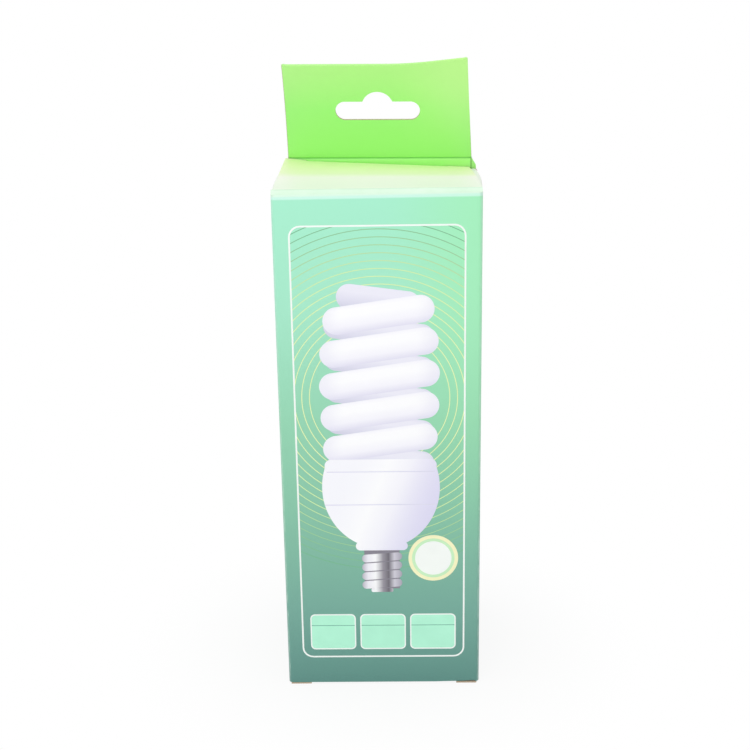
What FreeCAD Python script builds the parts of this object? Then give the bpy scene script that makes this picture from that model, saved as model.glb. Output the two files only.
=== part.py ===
import FreeCAD, Part
import math
import os

# A tuck-end folding carton with a doubled hang tab, folded from one sheet of board and glued along one
# side seam. The lids at its two ends are hinged on opposite walls, so each is a piece of its own.
# X runs to the right, Y to the back and Z up, in millimetres. The origin is the middle of the base.

Vector = FreeCAD.Vector

# Board
board = 0.5                  # thickness of the sheet
fold_radius = 1.5            # outside radius of every fold

# Outside sizes of the closed carton
width = 71.0
depth = 67.0
height = 185.0               # from the base to the top lid's outer face

# Lids
lid_inset = 0.9              # each side edge of a lid stands this far inside the side wall's face
tuck_length = 15.0
tuck_corner = 9.0            # rounding of the tuck flap's free corners
tuck_spare_lean = 1.5        # degrees that a tuck leans in beyond the lean that just clears its wall
ear_length = 7.5             # slit-cut ear at each end of a lid's free edge

# Dust flaps
dust_length = 26.0
dust_taper = 9.0             # degrees by which each side of a dust flap narrows towards its tip
dust_tuck_clear = 3.0        # room between a dust flap and the tuck flap that passes it
dust_corner = 3.0

# Glue flap of the side seam
glue_width = 14.0
glue_taper = 6.0             # each end of the flap is this much shorter at its free edge

# Hang tab
tab_width = 69.8
tab_height = 37.4            # above its crease, along the board
tab_corner = 0.6
tab_bend = 72.0              # radius to which the tab's front curls forward over the lid
crease_rise = 2.8            # crease line above the top lid's outer face
crease_width = 0.8
crease_depth = 0.2
tab_glue_length = 20.0       # second layer below the crease, glued to the back wall

# Euro slot through the tab
slot_width = 32.0
slot_height = 7.2
slot_rise = 14.7             # lower side of the slot above the crease, along the board
hump_width = 11.2
hump_rise = 3.9              # hump above the slot's upper side

# Clearances
edge_gap = 0.1               # between a wall's edge and the lid that hinges or closes on it
layer_gap = 0.15             # between a lid and the dust flaps under it
tuck_gap = 0.4               # between a tuck flap's fold and the wall that it slides along
flap_clear = 0.8             # round the dust flaps' other edges

# Places that follow from the sizes
half_width = width / 2
half_depth = depth / 2
flap_level = height - board - layer_gap          # outer face of a top dust flap
wall_top = flap_level - fold_radius              # where the side walls' top folds begin
wall_bottom = height - wall_top                  # the base mirrors the top
wall_flat = half_width - fold_radius             # half of the flat front and back walls
lid_half = half_width - lid_inset
tuck_half = lid_half - ear_length
crease_level = height + crease_rise
tab_face = half_depth - 2 * board                # front of the tab's second layer
bend_centre = tab_face - tab_bend                # Y of the line that the tab curls about, level with the lid
crease_turn = math.asin(crease_rise / tab_bend)  # how far round that line the crease is, in radians


def unit(start, end):
    """Unit vector from one point of a section to the next."""
    length = math.dist(start, end)
    return (end[0] - start[0]) / length, (end[1] - start[1]) / length


def shifted(point, direction, distance):
    """Point moved along a direction."""
    return point[0] + direction[0] * distance, point[1] + direction[1] * distance


def fold_points(before, corner, after):
    """Points of a fold that turns right: the start, middle and end of its outer arc, then its inner arc."""
    coming = unit(before, corner)
    going = unit(corner, after)
    turn = math.acos(coming[0] * going[0] + coming[1] * going[1])
    reach = fold_radius * math.tan(turn / 2)
    start = shifted(corner, coming, -reach)
    end = shifted(corner, going, reach)
    centre = shifted(start, (coming[1], -coming[0]), fold_radius)
    middle = shifted(centre, unit(centre, corner), fold_radius)
    inner_radius = fold_radius - board
    outer = [start, middle, end]
    inner = [shifted(centre, unit(centre, point), inner_radius) for point in outer]
    return outer, inner


def side_edges(start, arcs, end, place):
    """Straight runs and arcs along one side of a sheet's section."""
    edges = []
    here = start
    for first, middle, last in arcs:
        if math.dist(here, first) > 1e-6:
            edges.append(Part.makeLine(place(here), place(first)))
        edges.append(Part.Arc(place(first), place(middle), place(last)).toShape())
        here = last
    if math.dist(here, end) > 1e-6:
        edges.append(Part.makeLine(place(here), place(end)))
    return edges


def sheet_section(corners, place):
    """Section of a folded sheet. The corners follow its outer side, and every fold turns right."""
    folds = [fold_points(*corners[i - 1:i + 2]) for i in range(1, len(corners) - 1)]
    first_way = unit(corners[0], corners[1])
    last_way = unit(corners[-2], corners[-1])
    inner_start = shifted(corners[0], (first_way[1], -first_way[0]), board)
    inner_end = shifted(corners[-1], (last_way[1], -last_way[0]), board)
    edges = side_edges(corners[0], [fold[0] for fold in folds], corners[-1], place)
    edges.append(Part.makeLine(place(corners[-1]), place(inner_end)))
    inner_arcs = [fold[1][::-1] for fold in reversed(folds)]
    edges += side_edges(inner_end, inner_arcs, inner_start, place)
    edges.append(Part.makeLine(place(inner_start), place(corners[0])))
    return Part.Face(Part.Wire(edges))


def in_plan(level):
    """Places a section's points in a level plane."""
    return lambda point: Vector(point[0], point[1], level)


def in_side_view(x):
    """Places a section's points in an upright plane that looks along X."""
    return lambda point: Vector(x, point[0], point[1])


def in_front_view(y):
    """Places a section's points in an upright plane that looks along Y."""
    return lambda point: Vector(point[0], y, point[1])


def block(x_range, y_range, z_range):
    """Rectangular piece of sheet between the given limits."""
    low = Vector(x_range[0], y_range[0], z_range[0])
    return Part.makeBox(x_range[1] - x_range[0], y_range[1] - y_range[0], z_range[1] - z_range[0], low)


def outline(points, place):
    """Face with straight sides."""
    placed = [place(point) for point in points]
    return Part.Face(Part.makePolygon(placed + placed[:1]))


def arc(points, place):
    """Arc through three points of a section."""
    return Part.Arc(*[place(point) for point in points]).toShape()


def joined(pieces):
    """One clean solid from pieces of the same sheet."""
    shape = pieces[0].fuse(pieces[1:]).removeSplitter()
    assert len(shape.Solids) == 1
    return shape.Solids[0]


def end_for_end(shape):
    """The same shape at the carton's other end: turned half a turn about its middle, left to right."""
    turned = shape.copy()
    turned.rotate(Vector(0, 0, height / 2), Vector(1, 0, 0), 180)
    return turned


# Four walls and the glue flap


def wall_sleeve():
    """Walls from the glue seam round the back, right and front, then the left wall over the glue flap."""
    seam = half_depth - fold_radius
    glue_side = -half_width + board
    round_walls = [
        (glue_side, seam),
        (glue_side, half_depth),
        (half_width, half_depth),
        (half_width, -half_depth),
        (-half_width, -half_depth),
        (-half_width, -seam),
    ]
    rise = Vector(0, 0, wall_top - wall_bottom)
    sleeve = sheet_section(round_walls, in_plan(wall_bottom)).extrude(rise)
    left_wall = block((-half_width, glue_side), (-seam, seam), (wall_bottom, wall_top))
    glue_outline = [
        (seam, wall_bottom),
        (seam, wall_top),
        (seam - glue_width, wall_top - glue_taper),
        (seam - glue_width, wall_bottom + glue_taper),
    ]
    glue_flap = outline(glue_outline, in_side_view(glue_side)).extrude(Vector(board, 0, 0))
    front_edges = (board + edge_gap, height - fold_radius - edge_gap)
    front_wall = block((-wall_flat, wall_flat), (-half_depth, -half_depth + board), front_edges)
    back_edges = (fold_radius + edge_gap, height)
    back_wall = block((-wall_flat, wall_flat), (half_depth - board, half_depth), back_edges)
    return [sleeve, left_wall, glue_flap, front_wall, back_wall]


# Dust flaps


def top_dust_flap():
    """Left dust flap of the top: folded in from the side wall, with a shoulder beside the tuck flap."""
    fold_side = -half_width
    tip = fold_side + dust_length
    strip = [(fold_side, wall_top), (fold_side, flap_level), (tip, flap_level)]
    sheet = sheet_section(strip, in_front_view(-half_depth)).extrude(Vector(0, depth, 0))
    slope = math.tan(math.radians(dust_taper))
    shoulder = -tuck_half - flap_clear
    hinge_side = -half_depth + math.hypot(fold_radius, board) + flap_clear
    tuck_side = tab_face - tuck_gap - board - dust_tuck_clear
    plan = [
        (fold_side, hinge_side),
        (tip, hinge_side + dust_length * slope),
        (tip, tuck_side - (tip - shoulder) * slope),
        (shoulder, tuck_side),
        (shoulder, tab_face - flap_clear),
        (fold_side, tab_face - flap_clear),
    ]
    cutter = outline(plan, in_plan(wall_top)).extrude(Vector(0, 0, height - wall_top))
    tips = [edge for edge in cutter.Edges if is_upright_at(edge, tip)]
    return sheet.common(cutter.makeFillet(dust_corner, tips))


def is_upright_at(edge, x):
    """Whether an edge stands upright at the given X."""
    ends = [vertex.Point for vertex in edge.Vertexes]
    return all(abs(end.x - x) < 1e-6 for end in ends) and abs(ends[0].z - ends[-1].z) > board


def dust_flaps():
    """The left and right dust flaps of both ends."""
    left = top_dust_flap()
    right = left.mirror(Vector(0, 0, 0), Vector(1, 0, 0))
    return [left, right, end_for_end(left), end_for_end(right)]


# Hang tab


def turn_at(rise):
    """How far round its curl the tab has turned, in radians, at a distance along the board above the crease."""
    return crease_turn + rise / tab_bend


def on_curl(turn, radius):
    """Point of the tab's section, from its turn and its distance from the line that it curls about."""
    return bend_centre + radius * math.cos(turn), height + radius * math.sin(turn)


def curled(shape, rise):
    """A shape made on the tab's face at the lid's level, carried round the curl to above the crease."""
    turned = shape.copy()
    turned.rotate(Vector(0, bend_centre, height), Vector(1, 0, 0), math.degrees(turn_at(rise)))
    return turned


fold_turn = turn_at(tab_height - board)
fold_centre = on_curl(fold_turn, tab_bend + board)         # middle of the round fold along the tab's top
tab_top = fold_centre[1] + board


def tab_sheet():
    """Both layers of the tab: up the back, curling forward, over the top and down inside the back wall."""
    inner_end = crease_level - tab_glue_length
    back_bend = tab_bend + 2 * board
    place = in_side_view(-tab_width / 2)
    fold_top = shifted(fold_centre, (-math.sin(fold_turn), math.cos(fold_turn)), board)
    back_top = on_curl(fold_turn, back_bend)
    front_top = on_curl(fold_turn, tab_bend)
    up_the_back = arc([(half_depth, height), on_curl(fold_turn / 2, back_bend), back_top], place)
    over_top = arc([back_top, fold_top, front_top], place)
    down_the_front = arc([front_top, on_curl(fold_turn / 2, tab_bend), (tab_face, height)], place)
    below_the_curl = [
        (tab_face, height),
        (tab_face, inner_end),
        (half_depth - board, inner_end),
        (half_depth - board, wall_top),
        (half_depth, wall_top),
        (half_depth, height),
    ]
    sides = Part.makePolygon([place(point) for point in below_the_curl])
    section = Part.Wire([up_the_back, over_top, down_the_front] + sides.Edges)
    sheet = Part.Face(section).extrude(Vector(tab_width, 0, 0))
    return sheet.common(tab_outline())


def tab_outline():
    """Shape of the tab from the front: rounded top corners, and narrower where it goes inside the walls."""
    inside_half = wall_flat - board
    low = crease_level - tab_glue_length
    half = tab_width / 2
    through = (fold_centre[0] - 2 * board, half_depth + board)
    upper = block((-half, half), through, (wall_top, tab_top))
    corners = [edge for edge in upper.Edges if is_tab_corner(edge)]
    upper = upper.makeFillet(tab_corner, corners)
    lower = block((-inside_half, inside_half), through, (low, wall_top))
    return upper.fuse(lower)


def is_tab_corner(edge):
    """Whether an edge is one of the tab's two top corners, which run front to back."""
    ends = [vertex.Point for vertex in edge.Vertexes]
    return all(abs(end.z - tab_top) < 1e-6 for end in ends) and abs(ends[0].x - ends[-1].x) < 1e-6


def euro_slot():
    """Cutter for the slot: rounded ends, and a hump in the middle of its upper side."""
    low = height - slot_height / 2
    high = height + slot_height / 2
    end = slot_width / 2
    straight = end - slot_height / 2
    foot = hump_width / 2
    place = in_front_view(tab_face - 2 * board)

    def run(start, finish):
        return Part.makeLine(place(start), place(finish))

    edges = [
        run((-straight, low), (straight, low)),
        arc([(straight, low), (end, height), (straight, high)], place),
        run((straight, high), (foot, high)),
        arc([(foot, high), (0, high + hump_rise), (-foot, high)], place),
        run((-foot, high), (-straight, high)),
        arc([(-straight, high), (-end, height), (-straight, low)], place),
    ]
    cutter = Part.Face(Part.Wire(edges)).extrude(Vector(0, 6 * board, 0))
    return curled(cutter, slot_rise + slot_height / 2)


def crease():
    """Cutter for the pressed crease line across the front of the tab."""
    low = height - crease_width / 2
    high = height + crease_width / 2
    groove = [
        (tab_face - board, low),
        (tab_face - board, high),
        (tab_face, high),
        (tab_face + crease_depth, height),
        (tab_face, low),
    ]
    cutter = outline(groove, in_side_view(-tab_width / 2)).extrude(Vector(tab_width, 0, 0))
    return curled(cutter, 0)


def carton_body():
    """The folded sheet without its two lids."""
    sheet = joined(wall_sleeve() + dust_flaps() + [tab_sheet()])
    return sheet.cut([euro_slot(), crease()]).Solids[0]


# Lids


def lid(tuck_wall, ear_edge):
    """Top lid: its hinge fold, flat panel, tuck flap and ears, for a wall face and an ear edge given in Y."""
    fold_edge = tuck_wall - tuck_gap
    swing = fold_edge + half_depth
    lean = math.asin(tuck_length / (2 * swing)) + math.radians(tuck_spare_lean)
    tuck_end = (fold_edge - tuck_length * math.sin(lean), height - tuck_length * math.cos(lean))
    hinge = (-half_depth, height)
    hinge_start = (-half_depth, height - fold_radius)
    flat_end = fold_edge - 2 * fold_radius
    panel_section = sheet_section([hinge_start, hinge, (flat_end, height)], in_side_view(-lid_half))
    panel = panel_section.extrude(Vector(2 * lid_half, 0, 0))
    tuck_strip = [(flat_end, height), (fold_edge, height), tuck_end]
    tuck = sheet_section(tuck_strip, in_side_view(-tuck_half)).extrude(Vector(2 * tuck_half, 0, 0))
    free_corners = [edge for edge in tuck.Edges if is_free_corner(edge, tuck_end)]
    tuck = tuck.makeFillet(tuck_corner, free_corners)
    thickness = (height - board, height)
    left_ear = block((-lid_half, -tuck_half), (flat_end, ear_edge), thickness)
    right_ear = block((tuck_half, lid_half), (flat_end, ear_edge), thickness)
    return joined([panel, tuck, left_ear, right_ear])


def is_free_corner(edge, tuck_end):
    """Whether an edge crosses the sheet's thickness at the tuck flap's free end."""
    middle = edge.CenterOfMass
    near_end = math.dist((middle.y, middle.z), tuck_end) < board
    return near_end and abs(edge.Length - board) < 1e-6


def top_lid():
    """Lid on the front wall's top edge, tucked in front of the tab's second layer."""
    return lid(tab_face, tab_face - tuck_gap)


def bottom_lid():
    """Lid on the back wall's bottom edge, tucked behind the front wall, its ears flush with that wall."""
    return end_for_end(lid(half_depth - board, half_depth))


os.makedirs("parts", exist_ok=True)
carton_body().exportStep("parts/carton_body.step")
top_lid().exportStep("parts/top_lid.step")
bottom_lid().exportStep("parts/bottom_lid.step")
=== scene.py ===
# %% [markdown]
# # A hang-tab folding carton
# The object is an upright carton, die-cut from one sheet of printed board, folded and glued. It has a
# tuck lid at each end and a doubled tab at the back with a slot for a display hook.
# A carton could be drawn as a plain box, but it would look like a block. Here every panel is a sheet
# that is folded by operators and then given the board's thickness, as the real one is made.

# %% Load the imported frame
import math

import bmesh
import bpy
from mathutils import Matrix, Vector


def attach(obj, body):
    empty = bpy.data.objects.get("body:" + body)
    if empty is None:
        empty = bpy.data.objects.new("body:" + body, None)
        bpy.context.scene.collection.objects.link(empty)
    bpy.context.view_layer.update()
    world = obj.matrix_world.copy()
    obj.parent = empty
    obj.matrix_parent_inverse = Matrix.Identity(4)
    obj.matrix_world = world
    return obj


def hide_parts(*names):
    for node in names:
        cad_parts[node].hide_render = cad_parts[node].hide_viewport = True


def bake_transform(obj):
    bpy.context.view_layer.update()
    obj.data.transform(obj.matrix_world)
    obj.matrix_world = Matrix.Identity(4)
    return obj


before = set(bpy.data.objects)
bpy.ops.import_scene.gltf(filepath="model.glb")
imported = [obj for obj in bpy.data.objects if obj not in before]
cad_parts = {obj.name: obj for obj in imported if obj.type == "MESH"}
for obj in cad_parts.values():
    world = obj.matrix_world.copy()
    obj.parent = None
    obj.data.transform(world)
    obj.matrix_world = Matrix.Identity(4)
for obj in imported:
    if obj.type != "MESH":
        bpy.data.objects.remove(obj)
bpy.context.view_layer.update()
mm = 0.001

# %% [markdown]
# ## Camera
# The picture looks slightly down on the carton from in front of it. Such a view can be set by eye, but
# the lens and the place were worked out from the carton's straight edges, so that they line up. The
# camera is tipped down, turned a little to the left and rolled by about a degree.

# %% Camera
camera_place = Vector((6.579, -446.96, 243.456)) * mm
turn = Matrix.Rotation(math.radians(1.116), 4, "Z")
tip = Matrix.Rotation(math.radians(90 - 16.563), 4, "X")
roll = Matrix.Rotation(math.radians(-0.925), 4, "Z")
lens = bpy.data.cameras.new("camera")
lens.lens = 59.66
lens.sensor_width = 36
camera = bpy.data.objects.new("camera", lens)
bpy.context.collection.objects.link(camera)
camera.matrix_world = Matrix.Translation(camera_place) @ turn @ tip @ roll
bpy.context.scene.camera = camera
print("camera at", [round(value, 3) for value in camera.location])

# %% [markdown]
# ## Nodes in short form
# Every finish on the carton is a small tree of shader nodes. They can be added one by one with their
# links, which takes many lines. These helpers add a node, fill or link its inputs, and give back the
# output, so that a finish reads from top to bottom.

# %% Node helpers
def add_node(tree, kind, inputs=None, **settings):
    node = tree.nodes.new("ShaderNode" + kind)
    for name, value in settings.items():
        setattr(node, name, value)
    for key, value in (inputs or {}).items():
        if isinstance(value, bpy.types.NodeSocket):
            tree.links.new(value, node.inputs[key])
        else:
            node.inputs[key].default_value = value
    return node


def calculate(tree, operation, first, second=0.0):
    return add_node(tree, "Math", {0: first, 1: second}, operation=operation).outputs[0]


def fade(tree, value, low, high, start=0.0, end=1.0):
    inputs = {"Value": value, "From Min": low, "From Max": high, "To Min": start, "To Max": end}
    return add_node(tree, "MapRange", inputs, interpolation_type="SMOOTHSTEP").outputs[0]


def mix_inks(tree, share, under, over):
    """Lay one colour over another. Inputs 6 and 7 of a mix node are its colours."""
    inputs = {0: share, 6: under, 7: over}
    return add_node(tree, "Mix", inputs, data_type="RGBA").outputs[2]


def speckle(tree, spot, scale, detail=3.0, roughness=0.5):
    inputs = {"Vector": spot, "Scale": scale, "Detail": detail, "Roughness": roughness}
    return add_node(tree, "TexNoise", inputs).outputs["Fac"]


print("node helpers ready")

# %% Ink helpers
def blend_inks(tree, value, stops):
    node = add_node(tree, "ValToRGB", {0: value})
    band = node.color_ramp.elements
    while len(band) < len(stops):
        band.new(1.0)
    for element, (place, colour) in zip(band, stops):
        element.position = place
        element.color = colour
    return node.outputs["Color"]


def ink(red, green, blue):
    """A colour as it shows on screen, turned into the linear light that shaders work in."""
    def linear(level):
        level = level / 255
        return level / 12.92 if level <= 0.04045 else ((level + 0.055) / 1.055) ** 2.4
    return (linear(red), linear(green), linear(blue), 1.0)


print("mint ink:", [round(value, 3) for value in ink(170, 242, 210)])

# %% [markdown]
# ## Light and floor
# The carton was shot on a white sweep under large soft lamps. One white dome would light it evenly but
# flatly, so a dome is joined by a soft lamp above and one in front. The dome is white to the camera and
# in reflections, and dimmer as a lamp, so that the inks come out about as they are written.

# %% World
lamp_level = 0.62
world = bpy.data.worlds.new("white room")
bpy.context.scene.world = world
world.use_nodes = True
sky = world.node_tree
path = add_node(sky, "LightPath")
seen = calculate(sky, "MAXIMUM", path.outputs["Is Camera Ray"], path.outputs["Is Glossy Ray"])
seen = calculate(sky, "MAXIMUM", seen, path.outputs["Is Transmission Ray"])
sky_strength = fade(sky, seen, 0.0, 1.0, lamp_level, 1.0)
dome = sky.nodes["Background"]
dome.inputs["Color"].default_value = (1, 1, 1, 1)
sky.links.new(sky_strength, dome.inputs["Strength"])
bpy.context.scene.view_settings.view_transform = "Standard"
print("the dome looks white and lights at", lamp_level)

# %% Lamps
def soft_lamp(name, place, aim, width, power):
    lamp = bpy.data.lights.new(name, "AREA")
    lamp.size = width
    lamp.energy = power
    stand = bpy.data.objects.new(name, lamp)
    stand.location = place
    stand.rotation_euler = (Vector(aim) - Vector(place)).to_track_quat("-Z", "Y").to_euler()
    bpy.context.collection.objects.link(stand)


soft_lamp("top lamp", (-0.1, -0.1, 0.95), (0, 0, 0.1), 0.7, 1.7)
soft_lamp("front lamp", (-0.3, -1.05, 0.45), (0, 0, 0.08), 0.9, 4.1)
print("lamps and dome are set")

# %% Floor
shade_start = 30 * mm
shade_end = 110 * mm
shade_level = 0.89
floor_paper = bpy.data.materials.new("floor paper")
floor_paper.use_nodes = True
tree = floor_paper.node_tree
paper = tree.nodes["Principled BSDF"]
paper.inputs["Base Color"].default_value = (0.9, 0.9, 0.9, 1)
paper.inputs["Roughness"].default_value = 0.9
glow = add_node(tree, "Emission", {"Color": (1, 1, 1, 1), "Strength": 1.0})
spot = add_node(tree, "TexCoord").outputs["Object"]
reach = add_node(tree, "VectorMath", {0: spot}, operation="LENGTH").outputs["Value"]
away = fade(tree, reach, shade_start, shade_end, shade_level, 1.0)
path = add_node(tree, "LightPath")
seen = calculate(tree, "MAXIMUM", path.outputs["Is Camera Ray"], path.outputs["Is Glossy Ray"])
white = calculate(tree, "MULTIPLY", away, seen)
both = add_node(tree, "MixShader", {0: white, 1: paper.outputs[0], 2: glow.outputs[0]})
tree.links.new(both.outputs[0], tree.nodes["Material Output"].inputs["Surface"])
bm = bmesh.new()
bmesh.ops.create_grid(bm, x_segments=1, y_segments=1, size=2.0)
mesh = bpy.data.meshes.new("floor")
bm.to_mesh(mesh)
bm.free()
mesh.materials.append(floor_paper)
floor = bpy.data.objects.new("floor", mesh)
bpy.context.collection.objects.link(floor)
print("floor is white away from the carton and shaded beside it")

# %% [markdown]
# ## Board finishes
# Carton board has three faces: the printed side under a thin gloss varnish, the plain grey-cream inside,
# and the cut edge, which shows its plies. Each could be one flat colour, but board has tooth, stray
# fibres and worn folds, so all three share a recipe for tooth and shine and differ in their paint.

# %% Shared recipe
fibre_scale = 1500.0
wave_scale = 45.0
wave_share = 3.0
shine_range = 0.1
tooth_depth = 0.2 * mm


def board_finish(name, paint, shine=0.34, tooth=0.05):
    finish = bpy.data.materials.new(name)
    finish.use_nodes = True
    tree = finish.node_tree
    shader = tree.nodes["Principled BSDF"]
    spot = add_node(tree, "TexCoord").outputs["Object"]
    tree.links.new(paint(tree, spot), shader.inputs["Base Color"])
    fibres = speckle(tree, spot, fibre_scale, 4.0)
    waves = speckle(tree, spot, wave_scale, 2.0)
    rough = calculate(tree, "MULTIPLY_ADD", fibres, shine_range)
    rough.node.inputs[2].default_value = shine - shine_range / 2
    tree.links.new(rough, shader.inputs["Roughness"])
    lumps = calculate(tree, "MULTIPLY_ADD", waves, wave_share)
    tree.links.new(fibres, lumps.node.inputs[2])
    bump = add_node(tree, "Bump", {"Height": lumps, "Strength": tooth, "Distance": tooth_depth})
    tree.links.new(bump.outputs[0], shader.inputs["Normal"])
    return finish


print("board recipe ready")

# %% Values of the folded sheet
board = 0.5 * mm
fold_radius = 1.5 * mm
half_width = 35.5 * mm
half_depth = 33.5 * mm
height = 185.0 * mm
wall_top = 182.85 * mm
wall_bottom = 2.15 * mm
tab_face = 32.5 * mm
crease_level = 187.8 * mm
tab_top = 224.9 * mm
print("carton", 2 * half_width, "by", 2 * half_depth, "by", height)

# %% Paint of the walls
band_skew = 0.0065


def wall_paint(tree, spot):
    axes = add_node(tree, "SeparateXYZ", {0: spot}).outputs
    rise = calculate(tree, "DIVIDE", axes["Z"], height)
    stops = [
        (0.0, ink(87, 139, 130)),
        (0.17, ink(113, 168, 152)),
        (0.38, ink(132, 194, 165)),
        (0.56, ink(145, 211, 176)),
        (0.78, ink(162, 230, 199)),
        (1.0, ink(164, 238, 205)),
    ]
    colour = blend_inks(tree, rise, stops)
    # The print turns to a leaf green towards the upper right.
    right = fade(tree, axes["X"], -2 * mm, 36 * mm)
    upper = fade(tree, axes["Z"], 50 * mm, 160 * mm)
    corner = calculate(tree, "MULTIPLY", right, upper)
    corner = calculate(tree, "MULTIPLY", corner, 0.5)
    colour = mix_inks(tree, corner, colour, ink(160, 242, 172))
    # Along the lid's fold the front is painted pale, in two bands that are a little out of square: a
    # painted highlight of the rounded fold.
    skew = calculate(tree, "MULTIPLY", axes["X"], band_skew)
    skewed = calculate(tree, "SUBTRACT", axes["Z"], skew)
    front = fade(tree, axes["Y"], -31 * mm, -33 * mm)
    front_fold_highlight = calculate(tree, "MULTIPLY", fade(tree, skewed, 181.55 * mm, 182.3 * mm, 0.0, 0.66), front)
    colour = mix_inks(tree, front_fold_highlight, colour, ink(222, 253, 245))
    front_fold_highlight_upper = calculate(tree, "MULTIPLY", fade(tree, skewed, 182.5 * mm, 183.3 * mm, 0.0, 0.85), front)
    colour = mix_inks(tree, front_fold_highlight_upper, colour, ink(224, 250, 228))
    # The side walls are printed pale only at their top fold, and the back wall not at all.
    # That pale is painted lighter still, as painted light against the shade of the lid and the fold.
    pale_side = fade(tree, axes["Z"], 181.0 * mm, 182.1 * mm, 0.0, 0.9)
    pale_side = calculate(tree, "MULTIPLY", pale_side, fade(tree, axes["Y"], -33 * mm, -31 * mm))
    pale_side = calculate(tree, "MULTIPLY", pale_side, fade(tree, axes["Y"], 33.3 * mm, 32.3 * mm))
    colour = mix_inks(tree, pale_side, colour, ink(241, 255, 236))
    # The upright folds are rubbed pale in places.
    side = fade(tree, calculate(tree, "ABSOLUTE", axes["X"]), 34.3 * mm, 35.3 * mm)
    end = fade(tree, calculate(tree, "ABSOLUTE", axes["Y"]), 32.3 * mm, 33.3 * mm)
    fold = calculate(tree, "MULTIPLY", side, end)
    rubbed = calculate(tree, "MULTIPLY", fold, speckle(tree, spot, 220.0, 4.0))
    pale_mark = fade(tree, rubbed, 0.16, 0.42, 0.0, 0.3)
    return mix_inks(tree, pale_mark, colour, ink(215, 240, 228))


wall_print_and_light = board_finish("wall print and painted light", wall_paint)
print("finish:", wall_print_and_light.name)

# %% Paint of the inside and the cut edge
def inside_paint(tree, spot):
    fibres = speckle(tree, spot, 900.0, 5.0, 0.7)
    stops = [(0.25, ink(172, 165, 150)), (0.5, ink(203, 197, 183)), (0.8, ink(222, 217, 205))]
    return blend_inks(tree, fibres, stops)


def cut_paint(tree, spot):
    plies = speckle(tree, spot, 2600.0, 3.0, 0.7)
    stops = [(0.3, ink(150, 126, 104)), (0.5, ink(189, 167, 141)), (0.75, ink(222, 208, 186))]
    return blend_inks(tree, plies, stops)


bare_inside = board_finish("bare inside", inside_paint, 0.75, 0.25)
cut_edge = board_finish("cut edge", cut_paint, 0.85, 0.3)
board_sides = [wall_print_and_light, bare_inside, cut_edge]
print("finishes:", [finish.name for finish in board_sides])

# %% [markdown]
# ## Sheet tools
# Each panel begins as a sheet with no thickness. Cutting it into cells lets it bow a little later, and
# solidify gives it its thickness at the end: the first faces stay as the printed side, the new ones are
# the inside, and the strips between them are the cut edge.

# %% Sheet helpers
touching = 1e-6
print_slot, inside_slot, cut_slot = range(3)


def cut_across(bm, axis, places):
    across = Vector((axis == "X", axis == "Y", axis == "Z"))
    for place in places:
        everything = bm.verts[:] + bm.edges[:] + bm.faces[:]
        bmesh.ops.bisect_plane(bm, geom=everything, plane_co=across * place, plane_no=across)


def spaced(low, high, count):
    return [low + (high - low) * step / count for step in range(1, count)]


def thicken(bm, thickness):
    bm.normal_update()
    outside = set(bm.faces)
    made = bmesh.ops.solidify(bm, geom=bm.faces[:], thickness=thickness)
    inside = set(made["geom"])
    for face in bm.faces:
        if face in inside:
            face.material_index = inside_slot
        elif face not in outside:
            face.material_index = cut_slot


def new_verts(made, group="geom"):
    return [part for part in made[group] if isinstance(part, bmesh.types.BMVert)]


def new_edges(made, group="geom"):
    return [part for part in made[group] if isinstance(part, bmesh.types.BMEdge)]


def turn_out(bm, key, way):
    """Turn the sheet inside out, unless the face with the lowest key looks the given way."""
    bm.normal_update()
    if min(bm.faces, key=key).normal.dot(Vector(way)) < 0:
        bmesh.ops.reverse_faces(bm, faces=bm.faces[:])


def end_for_end(bm):
    half_turn = Matrix.Rotation(math.pi, 3, "X")
    bmesh.ops.rotate(bm, verts=bm.verts, cent=(0, 0, height / 2), matrix=half_turn)


print("sheet helpers ready, with", cut_slot + 1, "finishes to a sheet")

# %% From sheet to piece
sharp_from = math.radians(35)


def to_piece(name, bm, finishes):
    bm.normal_update()
    for face in bm.faces:
        face.smooth = True
    for edge in bm.edges:
        edge.smooth = edge.calc_face_angle(0.0) < sharp_from
    mesh = bpy.data.meshes.new(name)
    bm.to_mesh(mesh)
    bm.free()
    for finish in finishes:
        mesh.materials.append(finish)
    piece = bpy.data.objects.new(name, mesh)
    bpy.context.collection.objects.link(piece)
    even = piece.modifiers.new("even shading", "WEIGHTED_NORMAL")
    even.keep_sharp = True
    print(name, len(mesh.polygons), "faces")
    return piece


print("an edge is drawn sharp from", round(math.degrees(sharp_from)), "degrees")

# %% Limits and soft steps
def clamp(value, low=0.0, high=1.0):
    return min(max(value, low), high)


def ramp(value, start, end):
    """Nothing up to the start, 1 from the end on, and an even curve between them."""
    share = clamp((value - start) / (end - start))
    return share * share * (3 - 2 * share)


print("half way up a soft step:", ramp(0.5, 0.0, 1.0))

# %% [markdown]
# ## Walls
# The four walls are one strip. It starts at the seam on the left, goes round the front, right and back,
# and ends in a glue flap behind the left wall. A cube without its ends would close the seam, so the
# strip is drawn as a path of edges, pulled up, and its four uprights are bevelled into rounded folds.
# Thin board never stays flat, so the side walls stand out a little towards the top and the rear.

# %% Wall strip
glue_width = 14 * mm
glue_taper = 6 * mm
glue_film = 0.03 * mm
bm = bmesh.new()
glue_side = -half_width + board + glue_film
seam = half_depth - fold_radius
path_points = [
    (-half_width, seam),
    (-half_width, -half_depth),
    (half_width, -half_depth),
    (half_width, half_depth),
    (glue_side, half_depth),
    (glue_side, seam - glue_width),
]
feet = [bm.verts.new((x, y, wall_bottom)) for x, y in path_points]
runs = [bm.edges.new(pair) for pair in zip(feet, feet[1:])]
raised = bmesh.ops.extrude_edge_only(bm, edges=runs)
bmesh.ops.translate(bm, verts=new_verts(raised), vec=(0, 0, wall_top - wall_bottom))
glue_end = [vert for vert in bm.verts if abs(vert.co.y - (seam - glue_width)) < touching]
for vert in glue_end:
    vert.co.z += glue_taper if vert.co.z < height / 2 else -glue_taper
uprights = [edge for edge in bm.edges if len(edge.link_faces) == 2]
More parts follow.
